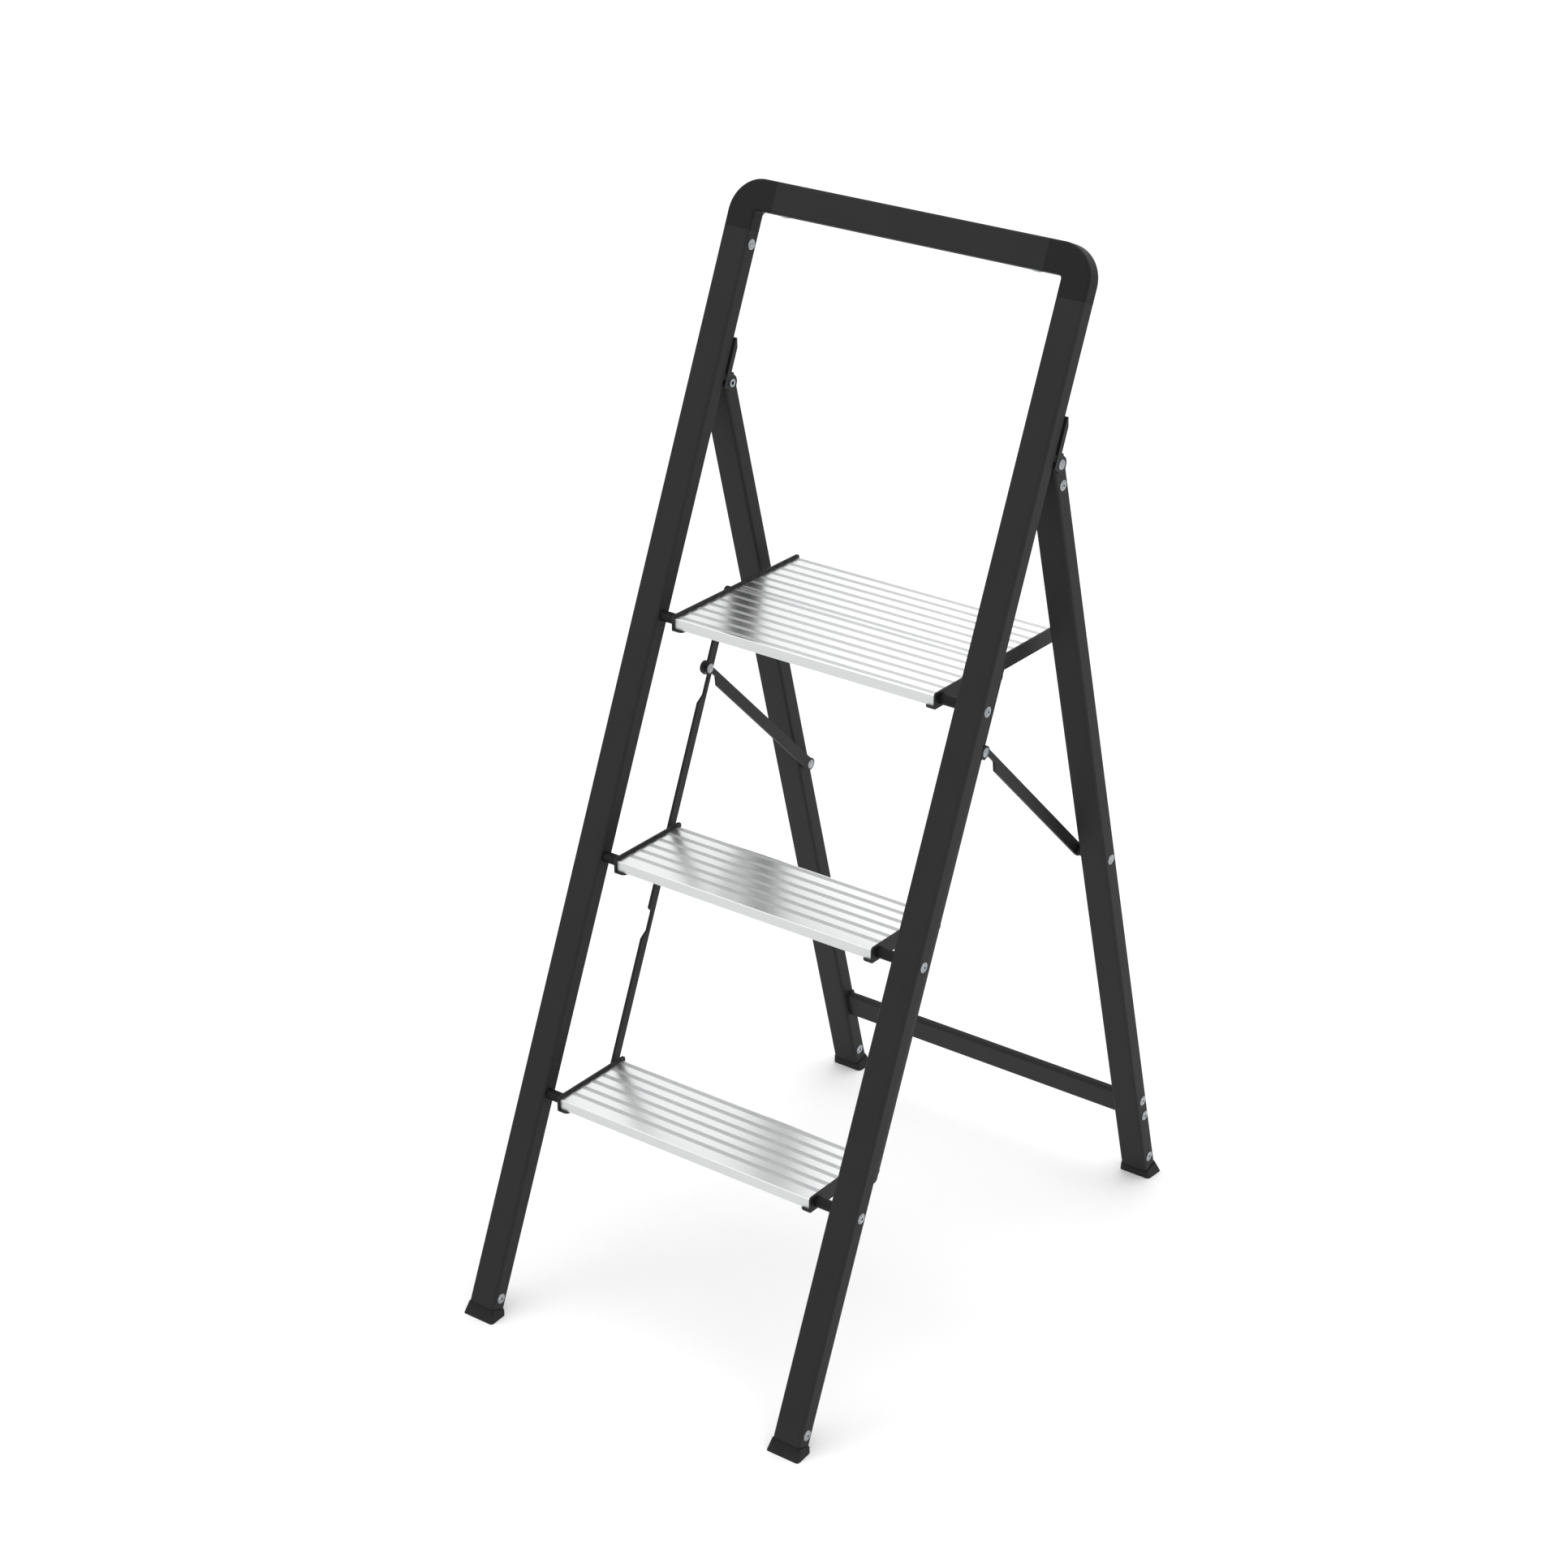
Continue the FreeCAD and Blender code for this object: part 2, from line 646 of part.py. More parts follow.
# ---- treads ----
def board(front, depth):
    # Ribbed extrusion: deck, front and rear lips, a middle rib, and turned-in foot rails.
    back = front + depth
    middle = (front + back) / 2
    block = box(-board_half, board_half, front, back, -lip_height, 0)
    top_edges = [e for e in straight_edges(block, x_axis) if abs(e.CenterOfMass.z) < near]
    block = block.makeFillet(lip_radius, top_edges)
    bays = ((front + board_wall, middle - board_wall / 2),
            (middle + board_wall / 2, back - board_wall))
    for n, (start, end) in enumerate(bays):
        roof = -lip_height + foot_rail_thickness
        bay = box(-board_half, board_half, start, end, roof, -deck_thickness)
        mouth_start = start + foot_rail_width - board_wall
        mouth_end = end - foot_rail_width + board_wall
        if n == 0:
            mouth_end = end - middle_rail_width
        else:
            mouth_start = start + middle_rail_width
        mouth = box(-board_half, board_half, mouth_start, mouth_end, -lip_height - beyond, roof + bite)
        block = block.cut([bay, mouth])
    for edge in groove_edges(front, back):
        block = block.cut(box(-board_half, board_half, edge, edge + groove_width,
                              -groove_depth, beyond))
    return block


def groove_edges(front, back):
    # Front edges of the grooves, set out from the rear edge.
    places = []
    edge = back - groove_margin - groove_width
    while edge > front + groove_margin:
        places.append(edge)
        edge -= rib_pitch
    return places


def lower_boards():
    return [board(-board_front, board_depth)]


def top_boards():
    second = -board_front + wide_board_depth + board_gap
    return [board(-board_front, wide_board_depth), board(second, wide_board_depth)]


def link_pin_place():
    # Link pin relative to the axle and the walking surface.
    y, z = front_to_flat(link_depth, link_rise)
    return y, z - axle_drop


def board_rivet_places(depths):
    # Distances behind the axle at which the flange is riveted to a foot rail.
    front = -board_front
    places = [front + foot_rail_width / 2 + board_wall / 2]
    off_middle = board_wall / 2 + middle_rail_width / 2
    places.append(front + depths[0] / 2 - off_middle)
    if len(depths) > 1:
        second = front + depths[0] + board_gap
        places.append(second + depths[1] / 2 + off_middle)
        places.append(second + depths[1] - foot_rail_width / 2 - board_wall / 2)
    return places


def tread_bracket(depths, tail):
    # Pressed side plate with turned-in flanges below the boards and a lobe for the link pin.
    back = -board_front + sum(depths) + board_gap * (len(depths) - 1) + tail
    bottom = -lip_height - bracket_sheet
    side = plate([(-bracket_front, bottom), (back - 2 * bracket_corner, bottom),
                  (back, bottom + 2 * bracket_corner), (back, bracket_top),
                  (-bracket_front, bracket_top)], bracket_inner, bracket_outer)
    top_edges = [e for e in straight_edges(side, x_axis)
                 if e.CenterOfMass.z > bracket_top - near]
    side = side.makeFillet(bracket_corner, top_edges)
    pin_y, pin_z = link_pin_place()
    lobe = disc(pin_y, pin_z, bracket_inner, bracket_outer, lobe_radius)
    neck = plate([(pin_y - lobe_shoulder, bottom), (pin_y, pin_z - lobe_radius),
                  (pin_y + lobe_radius, pin_z), (pin_y, bottom + lobe_radius)],
                 bracket_inner, bracket_outer)
    flanges = [(-bracket_front, pin_y - lobe_relief)]
    if len(depths) > 1:
        flanges.append((pin_y + lobe_relief, back - 2 * bracket_corner))
    parts = [lobe, neck]
    for start, end in flanges:
        parts.append(flange(start, end, bottom))
    bracket = side.fuse(parts).removeSplitter()
    holes = [disc(0, -axle_drop, bracket_inner, bracket_outer, rivet_shank + running_gap),
             disc(pin_y, pin_z, bracket_inner, bracket_outer, rivet_shank)]
    for place in board_rivet_places(depths):
        holes.append(Part.makeCylinder(rivet_shank, bracket_sheet,
                                       Vector(flange_rivet_x(), place, bottom)))
    return bracket.cut(holes)


def flange(start, end, bottom):
    strip = box(bracket_outer - flange_width, bracket_outer, start, end,
                bottom, bottom + bracket_sheet)
    inner_corners = [e for e in straight_edges(strip, Vector(0, 0, 1))
                     if e.CenterOfMass.x < bracket_outer - flange_width + near]
    return strip.makeFillet(flange_corner, inner_corners)


def flange_rivet_x():
    return bracket_outer - board_rivet_inset


def drilled_boards(boards, depths):
    # Holes for the flange rivets, up through the foot rails.
    holes = []
    for place in board_rivet_places(depths):
        for x in (flange_rivet_x(), -flange_rivet_x()):
            holes.append(Part.makeCylinder(rivet_shank, foot_rail_thickness,
                                           Vector(x, place, -lip_height)))
    return [one.cut(holes) for one in boards]


def board_rivets(depths):
    grip = bracket_sheet + foot_rail_thickness
    one = facing(rivet(grip), Vector(0, 0, -1))
    bottom = -lip_height - bracket_sheet
    return both_sides([moved(one, flange_rivet_x(), place, bottom)
                       for place in board_rivet_places(depths)])


def link_pins():
    # Shouldered stud, flush in the bracket, with the link bar between shoulder and head.
    y, z = link_pin_place()
    shoulder = disc(y, z, bracket_outer, bar_inner - fit_gap, axle_spacer)
    core = disc(y, z, bracket_inner, bar_outer + fit_gap, rivet_shank)
    head = moved(dome(pivot_head, small_head_height), bar_outer + fit_gap, y, z)
    return both_sides([core.fuse([shoulder, head]).removeSplitter()])


# ---- link bars and struts ----
def link_bar():
    top = top_link_along + bar_end - bar_width / 2
    bottom = axle_along[0] + link_rise - bar_end + bar_width / 2
    front = link_depth - bar_width / 2
    bar = box(bar_inner, bar_outer, front, front + bar_width, bottom, top)
    ends = [disc(link_depth, along, bar_inner, bar_outer, bar_width / 2)
            for along in (bottom, top)]
    bar = bar.fuse(ends).removeSplitter()
    for step in (0, axle_along[2] - axle_along[1]):
        upper = strut_pivot_along - bar_notch_top - step
        lower = strut_pivot_along - bar_notch_bottom - step
        bar = bar.cut(plate([(front - beyond, upper), (front, upper),
                             (front + bar_notch_depth, upper - bar_notch_ramp),
                             (front + bar_notch_depth, lower + bar_notch_tail_ramp),
                             (front, lower), (front - beyond, lower)],
                            bar_inner - beyond, bar_outer + beyond))
    for along in axle_along:
        bar = bar.cut(disc(link_depth, along + link_rise, bar_inner, bar_outer,
                           rivet_shank + running_gap))
    return bar.cut(disc(link_depth, strut_pivot_along, bar_inner, bar_outer, rivet_shank))


def strut_pivot():
    # Riveted in the bar; the strut turns on it between the washer and the outer head.
    y = link_depth
    z = strut_pivot_along
    inner_head = moved(facing(dome(pivot_head, small_head_height), -x_axis), bar_inner, y, z)
    core = disc(y, z, bar_inner - bite, strut_outer + fit_gap, rivet_shank)
    outer_head = moved(dome(pivot_head, small_head_height), strut_outer + fit_gap, y, z)
    return core.fuse([inner_head, outer_head]).removeSplitter()


def strut_washer():
    return ring(link_depth, strut_pivot_along, bar_outer, bar_outer + pivot_washer,
                pivot_washer_radius, rivet_shank)


def strut_line():
    # Both pivots in the flat (y, z) frame, and the strut's slope and length.
    start = Vector(0, *front_to_flat(link_depth, strut_pivot_along))
    end = Vector(0, rear_floor_y - strut_pin_up_leg * math.sin(rear),
                 strut_pin_up_leg * math.cos(rear))
    run = end - start
    return start, math.degrees(math.atan2(run.z, run.y)), run.Length


def place_strut(shape):
    start, slope, length = strut_line()
    placed = shape.copy()
    placed.rotate(Vector(), x_axis, slope)
    placed.translate(start - Vector(0, middle_y, 0))
    return placed


def strut():
    # Drawn along local Y from the bar's pivot, with its lower edge towards -Z.
    length = strut_line()[2]
    body = box(strut_inner, strut_outer, 0, length, -strut_below, strut_above)
    ends = []
    for y in (0, length):
        ends.append(disc(y, 0, strut_inner, strut_outer, strut_end_radius))
    bar = body.fuse(ends).removeSplitter()
    mouth = strut_below + fit_gap
    outline = [(strut_notch_start, mouth), *strut_notch_floor, (strut_notch_end, mouth)]
    notch = plate([(along, -below) for along, below in outline],
                  strut_inner - beyond, strut_outer + beyond)
    bar = bar.cut(notch)
    bar = bar.cut(disc(0, 0, strut_inner, strut_outer, rivet_shank + running_gap))
    return bar.cut(disc(length, 0, strut_inner, strut_outer, rivet_shank))


def strut_stud():
    # Half of the strut's rear pivot, riveted in the strut.
    length = strut_line()[2]
    head = moved(facing(dome(pivot_head, small_head_height), -x_axis), strut_inner, length, 0)
    core = disc(length, 0, strut_inner - bite, strut_outer, rivet_shank)
    return head.fuse(core).removeSplitter()


# ---- writing ----
def write(name, shapes, place):
    placed = [place(shape) for shape in shapes]
    whole = placed[0] if len(placed) == 1 else Part.makeCompound(placed)
    whole.exportStep("parts/" + name + ".step")
    print(name, len(placed), "solid(s)", round(sum(shape.Volume for shape in placed) / 1000, 2),
          "cm3", "valid" if whole.isValid() else "NOT VALID")


def write_pair(name, shape, place):
    write(name + "_right", [shape], place)
    write(name + "_left", [mirrored(shape)], place)


def place_front_foot(shape):
    return cut_at_floor(place_front(shape))


def place_rear_foot(shape):
    return cut_at_floor(place_rear(shape))


def write_front_frame():
    write_pair("upright", upright(), place_front)
    write("hand_rail", [hand_rail()], place_front)
    write_pair("hand_rail_elbow", elbow(), place_front)
    write("elbow_rivets", elbow_rivets(), place_front)
    shoe = foot(front_foot_height, foot_rivet_along)
    write_pair("front_foot", shoe, place_front_foot)
    write("front_foot_rivets", foot_rivets(foot_rivet_along), place_front)
    write_pair("hinge_bracket", hinge_bracket(), place_front)
    write("hinge_bracket_rivets", hinge_bracket_rivets(), place_front)
    write("hinge_pins", hinge_pins(), place_front)
    write("axle_rivets", axle_rivets(), place_front)
    write("axle_spacers", axle_spacers(), place_front)


def write_rear_frame():
    write_pair("rear_leg", rear_leg(), place_rear)
    write_pair("leg_cap", leg_cap(), place_rear)
    write("leg_cap_rivets", leg_cap_rivets(), place_rear)
    write("crossbar", [crossbar()], place_rear)
    write("crossbar_rivets", crossbar_rivets(), place_rear)
    shoe = foot(rear_foot_height, rear_foot_rivet_along)
    write_pair("rear_foot", shoe, place_rear_foot)
    write("rear_foot_rivets", foot_rivets(rear_foot_rivet_along), place_rear)
    write("strut_mount_pins", strut_mount_pins(), place_rear)
    write("strut_spacers", strut_spacers(), place_rear)


def write_tread(n):
    name = tread_names[n]
    wide = name == "top"
    depths = [wide_board_depth, wide_board_depth] if wide else [board_depth]
    boards = drilled_boards(top_boards() if wide else lower_boards(), depths)

    def place(shape):
        return place_tread(shape, n)

    if wide:
        write("top_board_front", [boards[0]], place)
        write("top_board_rear", [boards[1]], place)
    else:
        write(name + "_board", boards, place)
    tail = wide_bracket_tail if wide else bracket_tail
    write_pair(name + "_tread_bracket", tread_bracket(depths, tail), place)
    write(name + "_board_rivets", board_rivets(depths), place)
    write(name + "_link_pins", link_pins(), place)


def write_links():
    write_pair("link_bar", link_bar(), place_front)
    write_pair("strut_pivot", strut_pivot(), place_front)
    write_pair("strut_washer", strut_washer(), place_front)
    write_pair("strut", strut(), place_strut)
    write_pair("strut_stud", strut_stud(), place_strut)


os.makedirs("parts", exist_ok=True)
write_front_frame()
write_rear_frame()
for tread in range(len(tread_names)):
    write_tread(tread)
write_links()
print("strut pin down the leg", round(strut_pin_down, 2), "strut length", round(strut_line()[2], 2))
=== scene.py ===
import json
import math

import bpy
from mathutils import Matrix, Vector

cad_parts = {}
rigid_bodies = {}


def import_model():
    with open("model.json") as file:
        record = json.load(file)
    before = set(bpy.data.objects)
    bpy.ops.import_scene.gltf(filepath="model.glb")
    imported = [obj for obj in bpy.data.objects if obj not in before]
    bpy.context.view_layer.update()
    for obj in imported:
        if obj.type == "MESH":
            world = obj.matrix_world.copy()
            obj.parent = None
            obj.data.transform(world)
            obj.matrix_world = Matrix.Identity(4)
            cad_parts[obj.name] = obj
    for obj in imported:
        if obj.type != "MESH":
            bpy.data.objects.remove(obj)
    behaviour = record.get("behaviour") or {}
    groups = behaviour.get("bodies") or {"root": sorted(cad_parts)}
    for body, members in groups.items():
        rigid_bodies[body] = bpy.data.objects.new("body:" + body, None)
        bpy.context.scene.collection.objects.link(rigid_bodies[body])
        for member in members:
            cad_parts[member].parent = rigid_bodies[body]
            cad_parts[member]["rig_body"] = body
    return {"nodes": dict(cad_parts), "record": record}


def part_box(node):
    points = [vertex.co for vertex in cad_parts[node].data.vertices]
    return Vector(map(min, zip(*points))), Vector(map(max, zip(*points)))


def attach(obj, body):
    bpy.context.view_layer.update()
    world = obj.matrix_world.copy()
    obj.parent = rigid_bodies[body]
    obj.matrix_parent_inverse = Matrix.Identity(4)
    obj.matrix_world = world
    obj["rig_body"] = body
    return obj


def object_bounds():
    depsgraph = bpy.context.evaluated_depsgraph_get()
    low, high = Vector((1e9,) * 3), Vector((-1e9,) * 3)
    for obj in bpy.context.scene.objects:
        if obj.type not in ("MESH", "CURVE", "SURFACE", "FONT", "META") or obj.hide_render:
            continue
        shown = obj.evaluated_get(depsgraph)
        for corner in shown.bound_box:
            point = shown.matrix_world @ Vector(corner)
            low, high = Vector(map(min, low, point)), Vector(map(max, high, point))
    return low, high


# A folding step stool: black tube frames, aluminium treads, zinc rivets. Lengths are in metres.

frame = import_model()
cadLow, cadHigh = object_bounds()
slotOf = {row["node"]: row["material_slot"] for row in frame["record"]["subparts"]}
bodyOf = {name: node["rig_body"] for name, node in frame["nodes"].items()}
print("stage 1: frame loaded,", len(frame["nodes"]), "nodes")


class Wire:
    # One socket of a node tree. Arithmetic on it adds Math nodes.
    def __init__(self, paint, socket):
        self.paint = paint
        self.socket = socket

    def maths(self, operation, other, swap=False):
        first, second = (other, self) if swap else (self, other)
        return self.paint.add("ShaderNodeMath", {"operation": operation}, {0: first, 1: second})

    def __add__(self, other):
        return self.maths("ADD", other)

    def __radd__(self, other):
        return self.maths("ADD", other, True)

    def __sub__(self, other):
        return self.maths("SUBTRACT", other)

    def __rsub__(self, other):
        return self.maths("SUBTRACT", other, True)

    def __mul__(self, other):
        return self.maths("MULTIPLY", other)

    def __rmul__(self, other):
        return self.maths("MULTIPLY", other, True)

    def __truediv__(self, other):
        return self.maths("DIVIDE", other)

    def clamped(self):
        return self.paint.add("ShaderNodeClamp", {}, {"Value": self})


class Paint:
    # One material while it is being put together.
    def __init__(self, name):
        self.material = bpy.data.materials.new(name)
        self.material.use_nodes = True
        self.tree = self.material.node_tree
        self.shader = self.tree.nodes["Principled BSDF"]

    def add(self, kind, settings, inputs, output=0):
        node = self.tree.nodes.new(kind)
        for key, value in settings.items():
            if key == "stops":
                self.setStops(node, value)
            else:
                setattr(node, key, value)
        for key, value in inputs.items():
            self.connect(node.inputs[key], value)
        return Wire(self, node.outputs[output])

    def setStops(self, node, stops):
        # Each stop is a place on the ramp and a grey.
        points = node.color_ramp.elements
        while len(points) < len(stops):
            points.new(1)
        for point, (place, grey) in zip(points, stops):
            point.position = place
            point.color = (grey, grey, grey, 1)

    def connect(self, socket, value):
        if isinstance(value, Wire):
            self.tree.links.new(value.socket, socket)
        else:
            socket.default_value = value

    def put(self, **values):
        # Values and wires for the shader; an underscore stands for a space.
        for key, value in values.items():
            self.connect(self.shader.inputs[key.replace("_", " ")], value)

    def place(self):
        # A point of the whole object, in metres, wherever the joints have moved its piece.
        return self.add("ShaderNodeTexCoord", {}, {}, "Object")

    def parts(self):
        # That point's X, Y and Z.
        split = self.tree.nodes.new("ShaderNodeSeparateXYZ")
        self.connect(split.inputs[0], self.place())
        return [Wire(self, out) for out in split.outputs]

    def noise(self, scale, detail=2.0, stretch=(1, 1, 1)):
        where = self.add("ShaderNodeMapping", {}, {"Vector": self.place(), "Scale": stretch})
        return self.add("ShaderNodeTexNoise", {},
                        {"Vector": where, "Scale": scale, "Detail": detail}, "Fac")

    def ramp(self, wire, *stops):
        return self.add("ShaderNodeValToRGB", {"stops": stops}, {"Fac": wire}, "Color")

    def blendColours(self, wire, first, second):
        # From one colour to the other as the wire goes from 0 to 1.
        first, second = [c if isinstance(c, Wire) else (*c, 1) for c in (first, second)]
        return self.add("ShaderNodeMix", {"data_type": "RGBA"}, {0: wire, 6: first, 7: second}, 2)

    def bump(self, height, strength, distance):
        return self.add("ShaderNodeBump", {},
                        {"Height": height, "Strength": strength, "Distance": distance})


tubeLook = {
    "dark": (0.0072, 0.0072, 0.0074), "light": (0.0104, 0.0104, 0.0107),
    "rough": 0.62, "gloss": 0.27,
    "cloud": 18, "cloudRough": 0.06,
    "grain": 2600, "grainRough": 0.12, "grainStrength": 0.4, "grainDepth": 0.00003,
}
sheetLook = tubeLook | {"rough": 0.52, "gloss": 0.25, "grain": 3400}


def powderCoat(name, look):
    # Orange-peel grain over a faint cloudiness.
    paint = Paint(name)
    cloud = paint.ramp(paint.noise(look["cloud"], detail=3), (0.3, 0), (0.7, 1))
    grain = paint.noise(look["grain"])
    rough = look["rough"] + (grain - 0.5) * look["grainRough"] + (cloud - 0.5) * look["cloudRough"]
    paint.put(Base_Color=paint.blendColours(cloud, look["dark"], look["light"]))
    paint.put(Roughness=rough.clamped(), Specular_IOR_Level=look["gloss"])
    paint.put(Normal=paint.bump(grain, look["grainStrength"], look["grainDepth"]))
    return paint.material


plasticLook = {
    "dark": (0.0036, 0.0036, 0.0038), "light": (0.0057, 0.0057, 0.0059),
    "rough": 0.56, "gloss": 0.195,
    "mottle": 60, "mottleRough": 0.16,
    "pebble": 1500, "pebbleStrength": 0.35, "pebbleDepth": 0.00005,
    "dust": (0.028, 0.027, 0.025), "dustHeight": 0.012, "dustRough": 0.1,
}


def mouldedPlastic(name, look):
    # Spark-eroded mould texture, with a trace of floor dust at the very bottom of the feet.
    paint = Paint(name)
    pebble = paint.add("ShaderNodeTexVoronoi", {"feature": "SMOOTH_F1"},
                       {"Vector": paint.place(), "Scale": look["pebble"]}, "Distance")
    mottle = paint.noise(look["mottle"])
    height = paint.parts()[2]
    low = (1 - height / look["dustHeight"]).clamped()
    skin = paint.blendColours(mottle, look["dark"], look["light"])
    rough = look["rough"] + (mottle - 0.5) * look["mottleRough"] + low * look["dustRough"]
    paint.put(Base_Color=paint.blendColours(low * mottle, skin, look["dust"]))
    paint.put(Roughness=rough.clamped(), Specular_IOR_Level=look["gloss"])
    paint.put(Normal=paint.bump(pebble, look["pebbleStrength"], look["pebbleDepth"]))
    return paint.material


rivetLook = {
    "dark": (0.22, 0.235, 0.25), "light": (0.40, 0.42, 0.435), "rough": 0.30,
    "bloom": 420, "bloomRough": 0.25,
    "marks": 3000, "marksRough": 0.1, "marksStrength": 0.3, "marksDepth": 0.00004,
}


def platedSteel(name, look):
    # Bright zinc with tumbling marks and a duller bloom.
    paint = Paint(name)
    bloom = paint.noise(look["bloom"], detail=3)
    marks = paint.noise(look["marks"])
    patches = paint.ramp(bloom, (0.35, 0), (0.65, 1))
    rough = look["rough"] + (bloom - 0.5) * look["bloomRough"] + (marks - 0.5) * look["marksRough"]
    paint.put(Base_Color=paint.blendColours(patches, look["dark"], look["light"]))
    paint.put(Metallic=1.0, Roughness=rough.clamped())
    paint.put(Normal=paint.bump(marks, look["marksStrength"], look["marksDepth"]))
    return paint.material


treadLook = {
    "deck": (0.87, 0.875, 0.88), "worn": (0.825, 0.83, 0.835), "wear": 16, "wearRough": 0.06,
    # The edge grey is painted shade: it darkens the lips below the deck.
    "edge": (0.62, 0.632, 0.628), "edgeStart": 0.0005, "edgeFade": 0.0002,
    "rough": 0.25, "edgeRough": 0.45,
    "lines": 5200, "lineStretch": (0.004, 1, 1), "lineRough": 0.06,
    "lineStrength": 0.12, "lineDepth": 0.00002,
}


def drawnAluminium(name, look, top):
    # Near-mirror lands with faint lines along the board; the lips below the deck stay satin, and
    # their grey is painted shade, darker than the deck.
    paint = Paint(name)
    lines = paint.noise(look["lines"], stretch=look["lineStretch"])
    wear = paint.noise(look["wear"], detail=3)
    depth = top - paint.parts()[2]
    edge = ((depth - look["edgeStart"]) / look["edgeFade"]).clamped()
    deck = paint.blendColours(wear, look["deck"], look["worn"])
    rough = (look["rough"] + edge * (look["edgeRough"] - look["rough"])
             + (lines - 0.5) * look["lineRough"] + (wear - 0.5) * look["wearRough"])
    # Below the deck the colour turns to the painted shade grey of the lips.
    paint.put(Base_Color=paint.blendColours(edge, deck, look["edge"]))
    paint.put(Metallic=1.0, Roughness=rough.clamped())
    paint.put(Normal=paint.bump(lines, look["lineStrength"], look["lineDepth"]))
    return paint.material


ribLook = treadLook | {
    "valley": (0.49, 0.50, 0.505), "crest": (0.57, 0.575, 0.58), "rough": 0.38,
    "wear": 40, "wearRough": 0.1, "lineRough": 0.08, "lineStrength": 0.15,
}


def ribbedAluminium(name, look):
    # Same metal as the deck, left duller between the ribs.
    paint = Paint(name)
    wear = paint.noise(look["wear"], detail=3)
    lines = paint.noise(look["lines"], stretch=look["lineStretch"])
    tarnish = paint.ramp(wear, (0.2, 0.55), (0.8, 1))
    rough = look["rough"] + (wear - 0.5) * look["wearRough"] + (lines - 0.5) * look["lineRough"]
    paint.put(Base_Color=paint.blendColours(tarnish, look["valley"], look["crest"]))
    paint.put(Metallic=1.0, Roughness=rough.clamped())
    paint.put(Normal=paint.bump(lines, look["lineStrength"], look["lineDepth"]))
    return paint.material


cameraView = {
    "place": (1.8365, -2.5282, 2.0197),
    "azimuth": 36.79, "elevation": 25.428, "roll": 0.124,     # degrees
    "lens": 79.834, "sensor": 36.0,                           # millimetres
}


def addCamera(view):
    # Azimuth 0 looks along +Y; a larger one walks round to the object's +X side.
    across = math.radians(view["azimuth"])
    above = math.radians(view["elevation"])
    tilt = math.radians(view["roll"])
    back = Vector((math.sin(across) * math.cos(above), -math.cos(across) * math.cos(above),
                   math.sin(above)))
    right = Vector((math.cos(across), math.sin(across), 0))
    up = back.cross(right)
    right = right * math.cos(tilt) + up * math.sin(tilt)
    up = back.cross(right)
    data = bpy.data.cameras.new("camera")
    data.lens = view["lens"]
    data.sensor_width = view["sensor"]
    camera = bpy.data.objects.new("camera", data)
    bpy.context.collection.objects.link(camera)
    turn = Matrix((right, up, back)).transposed().to_4x4()
    camera.matrix_world = Matrix.Translation(view["place"]) @ turn
    bpy.context.scene.camera = camera


floorLook = {
    "width": 60.0, "dark": (0.955, 0.955, 0.955), "light": (0.97, 0.97, 0.97), "mottle": 2,
    "rough": 0.9,
}


def addFloor(look):
    bpy.ops.mesh.primitive_plane_add(size=look["width"], location=(0, 0, cadLow.z))
    floor = startPiece("floor")
    paint = Paint("paleFloor")
    mottle = paint.noise(look["mottle"])
    paint.put(Base_Color=paint.blendColours(mottle, look["dark"], look["light"]))
    paint.put(Roughness=look["rough"], Specular_IOR_Level=0.0)
    floor.data.materials.append(paint.material)


# Round soft boxes, each aimed at the middle of the stool. Power is in watts.
lights = {
    "key": {"place": (-1.6, -2.6, 3.4), "size": 2.6, "power": 17},
    "fill": {"place": (3.2, -1.2, 2.2), "size": 2.4, "power": 10},
    "top": {"place": (0.2, 0.6, 3.8), "size": 3.0, "power": 20},
    "back": {"place": (-1.0, 3.6, 2.4), "size": 2.6, "power": 9},
}


def addLights():
    middle = (cadLow + cadHigh) / 2
    for name, facts in lights.items():
        data = bpy.data.lights.new(name, "AREA")
        data.shape = "DISK"
        data.size = facts["size"]
        data.energy = facts["power"]
        lamp = bpy.data.objects.new(name, data)
        bpy.context.collection.objects.link(lamp)
        lamp.location = facts["place"]
        aim = middle - lamp.location
        lamp.rotation_euler = aim.to_track_quat("-Z", "Y").to_euler()


skyLook = {"colour": (1.0, 1.0, 1.0), "strength": 1.04}


def addSky(look):
    world = bpy.data.worlds.new("studio")
    world.use_nodes = True
    backdrop = world.node_tree.nodes["Background"]
    backdrop.inputs["Color"].default_value = (*look["colour"], 1)
    backdrop.inputs["Strength"].default_value = look["strength"]
    bpy.context.scene.world = world


def finishNodes():
    # One coat, plastic and zinc for all; each board has its own metal, measured from its top.
    looks = {
        "black_tube": powderCoat("blackPowderCoat", tubeLook),
        "black_steel": powderCoat("blackSheetCoat", sheetLook),
        "black_plastic": mouldedPlastic("mouldedPlastic", plasticLook),
        "rivet_steel": platedSteel("zincRivet", rivetLook),
    }
    for name, node in frame["nodes"].items():
        node.data.materials.clear()
        if slotOf[name] == "tread_aluminium":
            low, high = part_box(name)
            node.data.materials.append(drawnAluminium(name + "_aluminium", treadLook, high.z))
        else:
            node.data.materials.append(looks[slotOf[name]])


def startPiece(name):
    # Names the primitive that has just been added, or the piece that has just been joined.
    piece = bpy.context.active_object
    piece.name = name
    piece.data.name = name
    return piece


def deselectAll():
    if bpy.context.object and bpy.context.object.mode != "OBJECT":
        bpy.ops.object.mode_set(mode="OBJECT")
    bpy.ops.object.select_all(action="DESELECT")


